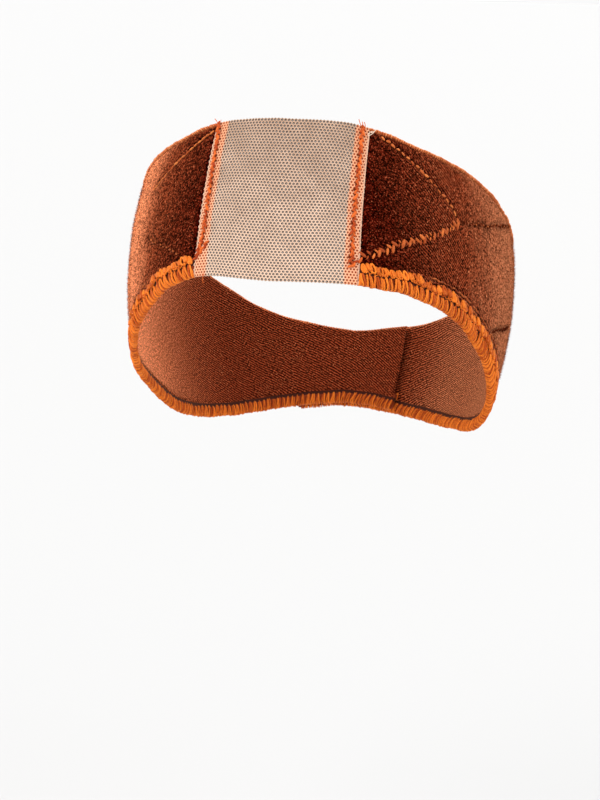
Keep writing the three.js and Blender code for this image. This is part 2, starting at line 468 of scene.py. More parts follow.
# A closed wall over a grid of columns and rows. at gives the flat places of its inner and outer face.
def wallMesh(name, columns, rows, at, finish):
    u, v = np.meshgrid(np.linspace(0, 1, columns + 1), np.linspace(0, 1, rows + 1), indexing="ij")
    places = np.vstack([at(u.ravel(), v.ravel(), face) for face in (0, 1)])
    count = (columns + 1) * (rows + 1)
    i, j = np.meshgrid(np.arange(columns), np.arange(rows), indexing="ij")
    a = (i * (rows + 1) + j).ravel()
    inner = np.stack([a, a + 1, a + rows + 2, a + rows + 1], 1)
    outer = inner[:, ::-1] + count
    rim = [(k, 0) for k in range(columns)] + [(columns, k) for k in range(rows)]
    rim += [(k, rows) for k in range(columns, 0, -1)] + [(0, k) for k in range(rows, 0, -1)]
    loop = np.array([p * (rows + 1) + q for p, q in rim])
    following = np.roll(loop, -1)
    edge = np.stack([loop, following, following + count, loop + count], 1)
    return smoothMesh(name, places.tolist(), np.vstack([inner, outer, edge]).tolist(), finish)


# A closed roll through sections, for the body of an edging
def rollMesh(name, length, section, finish, steps=150):
    points = [(x, y, z) for x in np.linspace(0, length, steps + 1) for y, z in section]
    count = len(section)
    faces = []
    for ring in range(steps):
        for k in range(count):
            a, b = ring * count + k, ring * count + (k + 1) % count
            faces.append((a, a + count, b + count, b))
    faces.append(tuple(range(count)))
    faces.append(tuple(steps * count + k for k in reversed(range(count))))
    return smoothMesh(name, points, faces, finish)


# Bare edges along one or more paths, for a tree to work on
def pathMesh(name, *paths):
    points, links = [], []
    for path in paths:
        links += [(len(points) + k, len(points) + k + 1) for k in range(len(path) - 1)]
        points += [tuple(p) for p in path]
    mesh = bpy.data.meshes.new(name)
    mesh.from_pydata(points, links, [])
    return mesh


# How far a wall has come to its full thickness, near its rim
def roundedRim(near, rim):
    return np.sqrt(np.clip(1 - (1 - np.clip(near / rim, 0, 1)) ** 2, 0, 1))


# A soft random height in -1..1 at flat places
def softNoise(x, y, size, seed):
    return np.array([noise.noise(Vector((a / size, b / size, seed))) for a, b in zip(x, y)]) * 1.6


print("form ready: velvet strap ends at", round(math.degrees(strapEnd), 1), "degrees")


# The camera, at the photograph's place

view = {
    "place": (0.1495, -0.8327, 0.1203), "aim": (-0.1805, 0.9646, -0.1923), "up": (-0.0641, 0.1835, 0.9809),
    "lens": 97.7,
}
cameraData = bpy.data.cameras.new("camera")
camera = bpy.data.objects.new("camera", cameraData)
scene.collection.objects.link(camera)
back = -Vector(view["aim"]).normalized()
sideways = Vector(view["up"]).cross(back).normalized()
facing = Matrix((sideways, back.cross(sideways), back)).transposed().to_4x4()
camera.matrix_world = Matrix.Translation(view["place"]) @ facing
cameraData.lens = view["lens"]
cameraData.sensor_width = 36
cameraData.sensor_fit = "AUTO"
cameraData.clip_start = 0.01
scene.camera = camera


# Each velvet side: its mesh, its cloth, where its edges lie and how it swells and gathers
velvet = {
    "columns": 360, "rows": 78, "cutWidth": 0.062, "area": 0.0117, "thickness": 0.0019,
    "thinnest": 0.0008, "overEdging": 0.0056, "underHem": 0.0007, "rim": 0.0022, "innerRim": 0.0003,
    "swell": 0.00026, "gather": 0.00016, "gatherReach": 0.0035, "dent": 0.00035, "dentWidth": 0.0010,
}

# The net window: its holes along and up, how thick its threads stand and how unevenly it hangs
net = {
    "columns": 47, "rows": 57, "holeShare": 0.16, "threadRise": 0.00025, "lift": 0.0018, "wander": 0.00012,
    "waves": 0.00022,
}


# Materials. Colours are linear.

def newFinish(name, **sockets):
    material = bpy.data.materials.new(name)
    material.use_nodes = True
    material.node_tree.nodes.clear()
    graph = Graph(material.node_tree)
    sockets = {label.replace("_", " "): value for label, value in sockets.items()}
    shader = graph.add("ShaderNodeBsdfPrincipled", None, sockets)
    graph.add("ShaderNodeOutputMaterial", None, {"Surface": shader[0]})
    graph.shader = shader.node
    return material, graph


# Links what changes over the surface to the shader
def feed(graph, **sockets):
    for name, wire in sockets.items():
        graph.tree.links.new(wire.socket, graph.shader.inputs[name.replace("_", " ")])


def bump(graph, height, distance, strength=1.0):
    sockets = {"Height": height, "Distance": distance, "Strength": strength}
    return graph.add("ShaderNodeBump", None, sockets)[0]


def read(graph, attribute, output="Fac"):
    return graph.add("ShaderNodeAttribute", {"attribute_name": attribute})[output]


# A wave of 0 to 1 that repeats at a pitch
def wave(graph, place, pitch):
    return graph.call("SINE", place * (2 * math.pi / pitch)) * 0.5 + 0.5


# Colours from the deepest tone to the painted sheen of the outline and the painted glints of lit tips,
# the rows and flecks of the pile, and how soon the painted sheen lightens it: on the left, where
# stronger light is painted, at its fibres' tips and with the distance from the net. Pairs are where a
# change begins and where it is complete.
velvetLook = {
    "deep": (0.018, 0.0007, 0.0003), "dark": (0.041, 0.0025, 0.0009), "mid": (0.108, 0.0190, 0.0065),
    "limb": (0.325, 0.105, 0.046), "spark": (0.86, 0.36, 0.16), "contrast": 7.4,
    "rowPitch": 0.00100, "rowAngle": 32.0, "dashLength": 0.0009, "fleckSize": 0.00046,
    "leftDelay": 0.11, "leftGlow": 1.1, "tips": (0.0002, 0.0006),
    "fromNet": 0.45, "lighterFrom": 0.008, "lightest": 0.100, "leftSooner": 0.048,
    "swayScale": 90.0, "patchScale": 60.0, "crushScale": (260.0, 380.0, 100.0), "strandScale": 400.0,
    "fullness": (0.004, 0.040), "darkening": (0.40, 0.72), "grazing": (0.10, 0.85), "limbShare": (0.45, 1.0),
    "sparkling": (0.67, 0.77), "bumpDepth": 0.0004,
}


def makeVelvet():
    look = velvetLook
    material, graph = newFinish(
        "pile velvet", Roughness=0.9, Specular_IOR_Level=0.0,
        Sheen_Weight=0.12, Sheen_Roughness=0.30, Sheen_Tint=(1.0, 0.30, 0.12, 1.0))
    flat = read(graph, "flat", "Vector")
    x, y, z = graph.parts(flat)
    angle = math.radians(look["rowAngle"])
    along = x * math.cos(angle) - y * math.sin(angle)
    across = x * math.sin(angle) + y * math.cos(angle)
    sway = graph.noise(flat, look["swayScale"], 2.0)
    rowPlace = across / look["rowPitch"] + sway * 2.0
    ridge = wave(graph, rowPlace, 1.0)
    onStrand = z * look["strandScale"]
    dash = graph.noise(graph.vector(along / look["dashLength"], rowPlace * 1.4, onStrand), 1.0, 1.0, 0.6)
    fleck = graph.noise(graph.vector(x / look["fleckSize"], y / look["fleckSize"], onStrand), 1.0, 1.0, 0.5)
    patch = graph.noise(flat, look["patchScale"], 3.0, 0.6)
    crushed = graph.vector(*(part * scale for part, scale in zip((x, y, z), look["crushScale"])))
    crush = graph.noise(crushed, 1.0, 3.0, 0.6)
    # The pile shows fewer lit tips beside the net, and more round the side, so its rows and painted glints
    # are weaker there
    fullness = graph.between(x, *look["fullness"])
    grain = dash * 0.5 + fleck * 0.5 + (ridge - 0.5) * 0.20 * fullness
    darkness = graph.between(patch * 0.6 + crush * 0.5, *look["darkening"])
    ground = graph.mix(darkness, look["deep"], look["dark"])
    # Painted sheen: the colour is painted lighter further from the net and where the surface turns from the
    # eye, later but further on the left, where stronger light is painted
    sideways = graph.parts(graph.add("ShaderNodeTexCoord")["Object"])[0]
    isLeft = graph.call("LESS_THAN", sideways, 0.0)
    facing = graph.add("ShaderNodeLayerWeight", None, {"Blend": 0.5})["Facing"]
    grazing = graph.between(facing - isLeft * look["leftDelay"], *look["grazing"], smooth=False)
    lightest = look["lightest"] - isLeft * look["leftSooner"]
    away = graph.between(x, look["lighterFrom"], lightest, smooth=False)
    turned = grazing * (1.0 - look["fromNet"]) + away * look["fromNet"]
    ground = graph.mix(graph.between(turned, 0.0, 0.5, smooth=False), ground, look["mid"])
    rim = graph.between(turned, *look["limbShare"])
    ground = graph.mix(rim, ground, look["limb"])
    # The tips of loose fibres get the same painted sheen as the outline
    tipLow, tipHigh = (velvet["thickness"] + tip for tip in look["tips"])
    ground = graph.mix(graph.between(z, tipLow, tipHigh) * 0.8, ground, look["limb"])
    # The pile's grain with painted shade between the fibres and painted light on their tufts, painted shade
    # along the stitched lines, and painted light that brightens the outline on the left
    pressed = read(graph, "pressed")
    grainWithPaintedLight = graph.call("POWER", grain * 2.0, look["contrast"] - rim * 3.5)
    paintedLeftGlow = 1.0 + isLeft * rim * look["leftGlow"]
    grainWithPaintedLight = graph.call("MINIMUM", grainWithPaintedLight, 4.0) * paintedLeftGlow * (1.0 - pressed * 0.55)
    ground = graph.mix(1.0, ground, graph.vector(grainWithPaintedLight, grainWithPaintedLight, grainWithPaintedLight), "MULTIPLY")
    # Painted glints where tips of the pile catch the light
    paintedGlints = graph.between(fleck * 0.6 + dash * 0.4 + patch * 0.12, *look["sparkling"])
    paintedGlints = paintedGlints * (0.35 + 0.65 * fullness)
    colour = graph.mix(paintedGlints * 0.7, ground, look["spark"])
    height = ridge * 0.2 * fullness + dash * 0.6 + fleck * 0.5
    feed(graph, Base_Color=colour, Normal=bump(graph, height, look["bumpDepth"], 0.8))
    return material


# A band of painted shadow along a height over the edge: its height, its reach and its colour
def makeThread(name, low, high, twist=0.0009, shine=0.15, sheen=0.10, paintedShadowBand=None):
    material, graph = newFinish(
        name, Roughness=0.6, Specular_IOR_Level=shine,
        Sheen_Weight=sheen, Sheen_Roughness=0.4, Sheen_Tint=(1.0, 0.6, 0.3, 1.0))
    shade = read(graph, "shade")
    flat = read(graph, "flat", "Vector")
    x, y, z = graph.parts(flat)
    twisted = wave(graph, x * 1.6 + y + z * 0.7, twist)
    grain = graph.noise(flat, 1500.0, 2.0, 0.6)
    tone = graph.between(shade * 0.55 + grain * 0.55 + twisted * 0.12, 0.25, 0.95)
    colour = graph.mix(tone, low, high)
    if paintedShadowBand:
        height, reach, shadow = paintedShadowBand
        away = graph.call("ABSOLUTE", y - height)
        colour = graph.mix(graph.between(away, reach, reach * 0.5), colour, shadow)
    feed(graph, Base_Color=colour, Normal=bump(graph, twisted * 0.6 + grain, 0.00022, 0.7))
    return material


# The yarn's colours and the painted shade on the rims of its holes, with those that the seam allowances tint,
# and between which places in from the side edges, heights and shares of the rise they change
netLook = {
    "rim": (0.055, 0.023, 0.011), "low": (0.43, 0.27, 0.18), "high": (0.78, 0.545, 0.40),
    "seamTint": (0.95, 0.38, 0.16), "seamRim": (0.58, 0.105, 0.024), "margin": (0.92, 0.58, 0.40),
    "seamStart": (0.0003, 0.0008), "seamEnd": (0.0048, 0.0055), "marginEnd": (0.0004, 0.0010),
    "lowerPart": (-0.025, 0.028), "crest": (0.44, 0.66),
}


def makeNetThread():
    look = netLook
    material, graph = newFinish(
        "net yarn", Roughness=0.6, Specular_IOR_Level=0.35,
        Sheen_Weight=0.10, Sheen_Tint=(1.0, 0.92, 0.85, 1.0))
    flat = read(graph, "flat", "Vector")
    x, y, z = graph.parts(flat)
    patch = graph.noise(flat, 110.0, 3.0, 0.6)
    fibre = graph.noise(flat, 3400.0, 2.0, 0.6)
    lower = 1.0 - graph.between(y, *look["lowerPart"], smooth=False)
    tone = graph.between(patch * 0.4 + fibre * 0.5 + lower * 0.25, 0.35, 0.80)
    yarn = graph.mix(tone, look["low"], look["high"])
    # Over the seam allowance the thin yarn takes on its colour, but not in the outermost rows
    halfWidth = (netCut["topWidth"] + netCut["bottomWidth"]) / 4
    inFromSide = halfWidth - graph.call("ABSOLUTE", x)
    ragged = inFromSide + (graph.noise(flat, 700.0, 2.0) - 0.5) * 0.0012
    beyond = graph.between(ragged, *look["seamEnd"])
    overSeam = graph.between(ragged, *look["seamStart"]) * (1.0 - beyond)
    yarn = graph.mix(overSeam * 0.62, yarn, look["seamTint"])
    atMargin = 1.0 - graph.between(ragged, *look["marginEnd"])
    yarn = graph.mix(atMargin * 0.6, yarn, look["margin"])
    # The hole walls are painted in shade up to the crests, tinted orange over the seam allowance; the crests
    # keep the yarn's colour
    crest = graph.between(graph.call("ABSOLUTE", z) / net["threadRise"], *look["crest"])
    colour = graph.mix(crest, graph.mix(overSeam * 0.85, look["rim"], look["seamRim"]), yarn)
    feed(graph, Base_Color=colour, Normal=bump(graph, fibre, 0.0001, 0.6))
    return material


def makeSeamKnit():
    material, graph = newFinish(
        "seam allowance knit", Roughness=0.8, Sheen_Weight=0.4, Sheen_Tint=(1.0, 0.8, 0.65, 1.0))
    flat = read(graph, "flat", "Vector")
    x, y = graph.parts(flat)[:2]
    course = wave(graph, y + x * 0.6, 0.0011)
    wale = wave(graph, x - y * 0.4, 0.0009)
    patch = graph.noise(flat, 420.0, 3.0, 0.65)
    tone = graph.between(course * 0.25 + wale * 0.2 + patch * 0.7, 0.35, 0.85)
    colour = graph.mix(tone, (0.62, 0.120, 0.030), (0.95, 0.36, 0.14))
    feed(graph, Base_Color=colour, Normal=bump(graph, course * wale + patch * 0.5, 0.0003))
    return material


def makeTape():
    material, graph = newFinish("woven fastening tape", Roughness=0.9, Specular_IOR_Level=0.05)
    flat = read(graph, "flat", "Vector")
    x, y = graph.parts(flat)[:2]
    warp = wave(graph, x, 0.0009)
    weft = wave(graph, y, 0.0007)
    mottle = graph.noise(flat, 900.0, 2.0)
    tone = graph.between(warp * weft + mottle * 0.5, 0.3, 1.1)
    colour = graph.mix(tone, (0.045, 0.012, 0.005), (0.17, 0.052, 0.022))
    feed(graph, Base_Color=colour, Normal=bump(graph, warp * 0.5 + weft * 0.5, 0.0002))
    return material


finishes = {
    "velvet": makeVelvet(),
    # The overlock ground carries a band of painted shadow along the feet of the teeth, where the ties run
    "overlockBody": makeThread(
        "overlock ground", (0.20, 0.026, 0.0035), (0.58, 0.112, 0.012), 0.0011,
        paintedShadowBand=(0.0048, 0.0010, (0.045, 0.006, 0.001))),
    "overlockThread": makeThread("overlock thread", (0.44, 0.055, 0.004), (0.98, 0.25, 0.022)),
    "hemBody": makeThread("hem ground", (0.38, 0.068, 0.014), (0.70, 0.18, 0.045)),
    "hemThread": makeThread("hem thread", (0.60, 0.135, 0.034), (0.98, 0.38, 0.14)),
    "seamThread": makeThread("seam thread", (0.34, 0.032, 0.004), (0.80, 0.155, 0.024)),
    "quiltThread": makeThread("quilting thread", (0.42, 0.066, 0.012), (0.86, 0.25, 0.060)),
    "boldThread": makeThread("bold quilting thread", (0.32, 0.045, 0.008), (0.80, 0.20, 0.040)),
    # A darker copy of the quilting thread: painted shade where stitches sink into the pile
    "sunkThread": makeThread("quilting thread in shade", (0.20, 0.027, 0.005), (0.62, 0.150, 0.034)),
    "paleThread": makeThread("pale loose thread", (0.60, 0.40, 0.29), (0.90, 0.68, 0.52)),
    "foldThread": makeThread("folded net edge", (0.50, 0.22, 0.12), (0.84, 0.52, 0.36)),
    # Dark beads painted as the shade in needle holes, in the net beside the ropes and in the velvet
    "prickHole": makeThread(
        "pricked net shade", (0.085, 0.012, 0.003), (0.220, 0.036, 0.010), shine=0.0, sheen=0.0),
    "needleHole": makeThread(
        "needle holes", (0.038, 0.006, 0.002), (0.150, 0.026, 0.008), shine=0.0, sheen=0.0),
    "net": makeNetThread(),
    "seamKnit": makeSeamKnit(),
    "tape": makeTape(),
}
print("materials ready:", len(finishes))


# The net window: round holes in staggered rows, all from one repeated cell

# Points in columns and rows, each moved by a shift
def pointRows(tree, rowStep, shift):
    grid = tree.add("GeometryNodeMeshGrid", None, {
        "Size X": tree.pitch * (tree.columns - 1.0), "Size Y": rowStep * (tree.rows - 1.0),
        "Vertices X": tree.columns, "Vertices Y": tree.rows})[0]
    return tree.add("GeometryNodeMeshToPoints", None, {"Mesh": tree.move(grid, Offset=shift)})[0]


def makeNetPattern():
    tree = Pattern("net window", columns=2, rows=2, pitch=0.001, rowStep=0.001, holeShare=0.5, rise=0.0002)
    corners, weld = 12, 0.00004
    flatToFlat = math.cos(math.pi / 6)
    ring = tree.add("GeometryNodeMeshCircle", {"fill_type": "NGON"}, {
        "Vertices": corners, "Radius": tree.pitch / math.sqrt(3)})[0]
    # Every other corner is drawn in to the middle of a cell edge, and the cell stands on its point
    isMiddle = tree.index() % 2.0
    place = tree.position()
    ring = tree.move(ring, Position=place * (1.0 - isMiddle * (1 - flatToFlat)))
    ring = tree.transform(ring, Rotation=(0, 0, math.pi / 2))
    ring = tree.transform(ring, Scale=tree.vector(1.0, tree.rowStep / (tree.pitch * flatToFlat), 1.0))
    # A round hole is cut in the cell, and the cell's border rises
    cut = tree.add("GeometryNodeExtrudeMesh", {"mode": "FACES"}, {"Mesh": ring, "Offset Scale": 0.0})
    holeRadius = tree.pitch * tree.holeShare * 0.5
    direction = tree.add("ShaderNodeVectorMath", {"operation": "NORMALIZE"}, {0: place})[0]
    cell = tree.move(cut["Mesh"], Selection=cut["Top"], Position=direction * holeRadius)
    fromMiddle = tree.add("ShaderNodeVectorMath", {"operation": "LENGTH"}, {0: place})["Value"]
    onBorder = tree.larger(fromMiddle, holeRadius * 1.05)
    hole = {"Geometry": cell, "Selection": cut["Top"]}
    cell = tree.add("GeometryNodeDeleteGeometry", {"domain": "FACE"}, hole)[0]
    cell = tree.move(cell, Selection=onBorder, Offset=tree.vector(0.0, 0.0, tree.rise))
    # Every second row is moved along by half a cell. Adding 200 keeps the row numbers above nought.
    py, pz = tree.parts(place)[1:]
    row = tree.call("ROUND", py / tree.rowStep + 200.0)
    stagger = tree.vector((row % 2.0 - 0.5) * tree.pitch * 0.5, 0.0, 0.0)
    cells = tree.copy(pointRows(tree, tree.rowStep, stagger), cell)
    half = tree.add("GeometryNodeRealizeInstances", None, {"Geometry": cells})[0]
    half = tree.add("GeometryNodeMergeByDistance", None, {"Geometry": half, "Distance": weld})[0]
    # The outer border is closed down to the middle plane, then the other face is its mirror
    neighbours = tree.add("GeometryNodeInputMeshEdgeNeighbors")["Face Count"]
    isOne = {"data_type": "INT", "operation": "EQUAL"}
    alone = tree.add("FunctionNodeCompare", isOne, {2: neighbours, 3: 1})[0]
    raised = tree.larger(pz, tree.rise * 0.5)
    border = tree.add("FunctionNodeBooleanMath", {"operation": "AND"}, {0: alone, 1: raised})[0]
    down = tree.vector(0.0, 0.0, -tree.rise)
    half = tree.add("GeometryNodeExtrudeMesh", {"mode": "EDGES"}, {
        "Mesh": half, "Selection": border, "Offset": down, "Offset Scale": 1.0})["Mesh"]
    other = tree.transform(half, Scale=(1, 1, -1))
    other = tree.add("GeometryNodeFlipFaces", None, {"Mesh": other})[0]
    both = tree.add("GeometryNodeJoinGeometry", None, {"Geometry": [half, other]})[0]
    both = tree.add("GeometryNodeMergeByDistance", None, {"Geometry": both, "Distance": weld})[0]
    return tree.finishWith(both)


# The stagger takes half a cell of the width, and the cells' points take about a third of a row
netLay = NetLay()
netMesh = makeNetPattern().make("net", {
    "columns": net["columns"], "rows": net["rows"], "pitch": netLay.width / (net["columns"] + 0.5),
    "rowStep": netLay.height / (net["rows"] + 0.34), "holeShare": net["holeShare"],
    "rise": net["threadRise"], "finish": finishes["net"]})


# The net wanders a little from its even rows, and doesn't lie quite flat
def layNet(flat):
    x, y, z = flat.T
    wander = net["wander"]
    x = x + (wander * softNoise(x, y, 0.006, 3.1) + 0.6 * wander * softNoise(x, y, 0.0021, 8.4))
    y = y + wander * softNoise(x, y, 0.007, 5.7)
    y = y + netLay.height / 2
    lift = z + net["lift"] + net["waves"] * softNoise(x, y, 0.011, 1.3)
    return netLay.place(np.stack([x, y, lift], 1))


netWindow = lay(netMesh, layNet, "net_window")
print("net window:", len(netMesh.polygons), "faces")


# Threads are tubes along bent lines, copied along an edge

def tube(tree, line, corners, radius):
    section = tree.add("GeometryNodeCurvePrimitiveCircle", None, {"Resolution": corners, "Radius": radius})[0]
    sockets = {"Curve": line, "Profile Curve": section, "Fill Caps": True}
    return tree.add("GeometryNodeCurveToMesh", None, sockets)[0]


# One bent strand as a thin tube. bend gives its path from t, which runs from 0 to 1.
def strand(tree, steps, corners, radius, bend, taper=0.35):
    line = tree.add("GeometryNodeCurvePrimitiveLine", None, {"End": (1.0, 0.0, 0.0)})[0]
    line = tree.add("GeometryNodeResampleCurve", None, {"Curve": line, "Count": steps + 1})[0]
    t = tree.add("GeometryNodeSplineParameter")["Factor"]
    endness = tree.call("ABSOLUTE", t * 2.0 - 1.0)
    thickness = 1.0 - taper * tree.call("POWER", endness, 4.0)
    line = tree.add("GeometryNodeSetCurveRadius", None, {"Curve": line, "Radius": thickness})[0]
    return tube(tree, tree.move(line, Position=bend(t)), corners, radius)


# Copies along x at the tree's pitch, each a little different
def alongX(tree, shape, first, tilt, jitter, seed):
    count = tree.call("FLOOR", (tree.length - first) / tree.pitch) + 1.0
    line = tree.add("GeometryNodeMeshLine", None, {
        "Count": count, "Start Location": tree.vector(first, 0.0, 0.0),
        "Offset": tree.vector(tree.pitch, 0.0, 0.0)})[0]
    shift = tree.vector(tree.random(-1.0, 1.0, seed) * jitter, tree.random(-1.0, 1.0, seed + 1) * jitter, 0.0)
    turn = tree.vector(0.0, 0.0, tree.random(-1.0, 1.0, seed + 2) * tilt)
    size = tree.random(0.9, 1.1, seed + 3)
    copies = tree.copy(tree.move(line, Offset=shift), shape, Rotation=turn, Scale=size)
    return tree.keep(copies, "shade", tree.random(0.0, 1.0, seed + 4), "INSTANCE")


def middleAndReach(low, high):
    return (low + high) / 2, (high - low) / 2


# The overlocked lower edge: fingers of thread that wrap the edge, under a row of teeth

# Arcs are a start and a sweep in degrees. hollow is how deep a finger's inner plies lie, and tied how
# far its ends are drawn together. A tooth is an outer and an inner loop, each with shares of its
# width, height and thickness. A wave is its rate along the strand and its reach. A spread is how many
# pitches in the first copy lies, and how far the copies turn and shift. Sections give the height over
# the edge and the way out.
overlock = {
    "pitch": 0.0029, "backTightening": 0.30, "threadRadius": 0.00037, "plies": 4, "lean": 0.0006,
    "endMargin": 0.001, "seed": 21,
    "fingerBottom": 0.0002, "fingerTop": 0.0045, "fingerInside": 0.0003, "fingerFront": 0.0027,
    "fingerWidth": 0.0021, "fingerArc": (34, 296), "fingerSpread": (0.32, 0.09, 0.00016),
    "threadTwist": 9.0, "plyTwist": 1.7, "twistAside": 0.00012, "twistOut": 0.00008, "innerThinner": 0.25,
    "hollow": {"left": 0.0005, "right": 0.00005}, "tied": {"left": 0.65, "right": 0.40},
    "toothFoot": 0.0049, "toothTop": 0.0078, "toothHalfWidth": 0.00090, "toothFront": 0.0024,
    "toothArc": (-82, 344), "toothLoops": ((1.0, 1.0, 1.05), (0.44, 0.60, 1.75)),
    "toothNarrowing": 0.26, "toothLean": 0.9, "innerBehind": 0.00018, "topBehind": 0.0003,
    "toothWave": (11.0, 0.00008), "toothSpread": (0.40, 0.14, 0.00016),
    "tieReach": 1.05, "tieRise": 0.0001, "tieWave": (7.0, 0.0004), "tieOut": 0.00025, "tieSag": 0.0006,
    "tieThickness": 0.5, "tieSpread": (0.95, 0.12, 0.00012),
    "section": [
        (0.0012, 0.0005), (0.0072, 0.0005), (0.0074, 0.0011), (0.0069, 0.00176), (0.0054, 0.00209),
        (0.0018, 0.0022), (0.0006, 0.00154), (0.0006, 0.0010)],
}


def makeOverlockPattern():
    look = overlock
    tree = Pattern(
        "overlock threads", body="", length=0.1, pitch=0.003, threadRadius=0.0003, lean=0.0005,
        hollow=0.0003, tied=0.5)
    copies = []

    def spreadOut(shape, kind, seed):
        first, turn, shift = look[kind]
        copies.append(alongX(tree, shape, tree.pitch * first, turn, shift, look["seed"] + seed))

    def waving(t, kind):
        rate, reach = look[kind]
        return tree.call("SINE", t * rate) * reach

    middleY, reachY = middleAndReach(look["fingerBottom"], look["fingerTop"])
    middleZ, reachZ = middleAndReach(look["fingerInside"], look["fingerFront"])
    fingerStart, fingerSweep = np.radians(look["fingerArc"]).tolist()
    for ply in range(look["plies"]):
        place = ply / (look["plies"] - 1) * 2 - 1

        # A finger is tied at its ends and open in the middle, where its inner plies lie deeper
        def finger(t, place=place, ply=ply):
            around = t * fingerSweep + fingerStart
            across = tree.call("COSINE", around)
            out = tree.call("SINE", around)
            flatter = tree.call("SIGN", out) * tree.call("POWER", tree.call("ABSOLUTE", out), 0.5)
            opened = tree.call("SINE", t * (math.pi * 1.05))
            spread = ((opened - 1.0) * tree.tied + 1.0) * (place * look["fingerWidth"] / 2)
            twist = t * look["threadTwist"] + look["plyTwist"] * ply
            aside = spread + tree.call("SINE", twist) * look["twistAside"]
            sunk = tree.hollow * (1 - abs(place)) * opened
            proud = tree.call("COSINE", twist) * look["twistOut"] - sunk
            return tree.vector(
                aside + across * tree.lean, middleY + across * reachY, middleZ + flatter * (reachZ + proud))

        thickness = 1.0 - look["innerThinner"] * (1 - abs(place))
        spreadOut(strand(tree, 9, 5, tree.threadRadius * thickness, finger), "fingerSpread", 7 * ply)
    middleTooth, reachTooth = middleAndReach(look["toothFoot"], look["toothTop"])
    toothStart, toothSweep = np.radians(look["toothArc"]).tolist()
    for loop, (width, tall, thickness) in enumerate(look["toothLoops"]):

        # A tooth's loop is full, narrower at the top, and closes at its foot
        def tooth(t, width=width, tall=tall, loop=loop):
            around = t * toothSweep + toothStart
            rise = tree.call("SINE", around)
            halfWidth = look["toothHalfWidth"] * width
            across = tree.call("COSINE", around) * halfWidth * (1.0 - rise * look["toothNarrowing"])
            out = look["toothFront"] - look["innerBehind"] * loop - rise * look["topBehind"]
            return tree.vector(
                across + rise * tree.lean * look["toothLean"], rise * (reachTooth * tall) + middleTooth,
                out + waving(t, "toothWave"))

        spreadOut(strand(tree, 12, 5, tree.threadRadius * thickness, tooth), "toothSpread", 60 + 7 * loop)

    # The needle thread that ties each tooth to the next
    def tie(t):
        return tree.vector(
            (t - 0.5) * tree.pitch * look["tieReach"],
            look["toothFoot"] + look["tieRise"] + waving(t, "tieWave"),
            look["toothFront"] + look["tieOut"] - tree.call("ABSOLUTE", t - 0.5) * look["tieSag"])

    spreadOut(strand(tree, 6, 5, tree.threadRadius * look["tieThickness"], tie), "tieSpread", 80)
    return tree.finishWith(copies, tree.body)


lowerLays = {side: EdgeLay(side, bottomHeight, 1) for side in (left, right)}
upperLays = {side: EdgeLay(side, topHeight, -1) for side in (left, right)}
overlockPattern = makeOverlockPattern()


# How far edgings sway across and out of their line, and over what length
sway = {"across": 0.00025, "acrossLength": 0.013, "out": 0.0001, "outLength": 0.004}


# Places an edging along an edge, with a pitch that tightens towards the back
def tightened(edgeLay, tightening):
    flatLength = edgeLay.length / (1 - tightening / 2)
    squeeze = tightening / 2 / flatLength

    def place(flat):
        x = np.clip(flat[:, 0], 0, flatLength)
        y = flat[:, 1] + sway["across"] * softNoise(x, 0 * x, sway["acrossLength"], 4.0)
        z = flat[:, 2] + sway["out"] * softNoise(x, y, sway["outLength"], 6.0)
        return edgeLay.place(np.stack([x - squeeze * x * x, y, z], 1))

    return place, flatLength


def makeOverlock(name, word):
    side = sides[word]
    place, flatLength = tightened(lowerLays[side], overlock["backTightening"])
    body = rollMesh("overlock body", flatLength, overlock["section"], finishes["overlockBody"])
    mesh = overlockPattern.make("overlock", {
        "length": flatLength - overlock["endMargin"], "pitch": overlock["pitch"],
        "threadRadius": overlock["threadRadius"], "lean": -overlock["lean"] * side,
        "hollow": overlock["hollow"][word], "tied": overlock["tied"][word],
        "finish": finishes["overlockThread"]}, body)
    return lay(mesh, place, name)


# The rolled hem on the upper edge: thread wrapped round a thin roll

# The spread is where the first wrap lies, and how far the wraps turn and shift
hem = {
    "pitch": 0.00105, "threadRadius": 0.00020, "slant": 0.0006, "endMargin": 0.001, "seed": 43,
    "wrapArc": (-75, 330), "wrapMiddle": (0.00060, 0.00125), "wrapReach": (0.00050, 0.00088),
    "wrapSpread": (0.0003, 0.05, 0.00006), "plyStep": 1.3, "plyThinner": 0.25, "taper": 0.2,
    "section": [
        (0.00025, 0.0006), (0.00105, 0.0006), (0.0012, 0.0012), (0.00105, 0.0019), (0.0004, 0.0019),
        (0.00015, 0.0013)],
}


def makeHemPattern():
    tree = Pattern("hem threads", body="", length=0.1, pitch=0.0014, threadRadius=0.0003, slant=0.0005)
    copies = []
    (middleY, middleZ), (reachY, reachZ) = hem["wrapMiddle"], hem["wrapReach"]
    start, sweep = np.radians(hem["wrapArc"]).tolist()
    for ply in (0, 1):

        def wrap(t, ply=ply):
            around = t * sweep + start
            return tree.vector(
                (t - 0.5) * tree.slant * 2.0 + tree.threadRadius * (hem["plyStep"] * ply),
                middleY - tree.call("COSINE", around) * reachY,
                middleZ + tree.call("SINE", around) * reachZ)

        radius = tree.threadRadius * (1.0 - hem["plyThinner"] * ply)
        shape = strand(tree, 9, 5, radius, wrap, hem["taper"])
        copies.append(alongX(tree, shape, *hem["wrapSpread"], hem["seed"] + 10 * ply))
    return tree.finishWith(copies, tree.body)


hemPattern = makeHemPattern()


def makeHem(name, side):
    place, flatLength = tightened(upperLays[side], 0.0)
    body = rollMesh("hem body", flatLength, hem["section"], finishes["hemBody"])
    mesh = hemPattern.make("hem", {
        "length": flatLength - hem["endMargin"], "pitch": hem["pitch"],
        "threadRadius": hem["threadRadius"], "slant": hem["slant"] * side,
        "finish": finishes["hemThread"]}, body)
    return lay(mesh, place, name)


# Rows of sewn stitches along a flat path

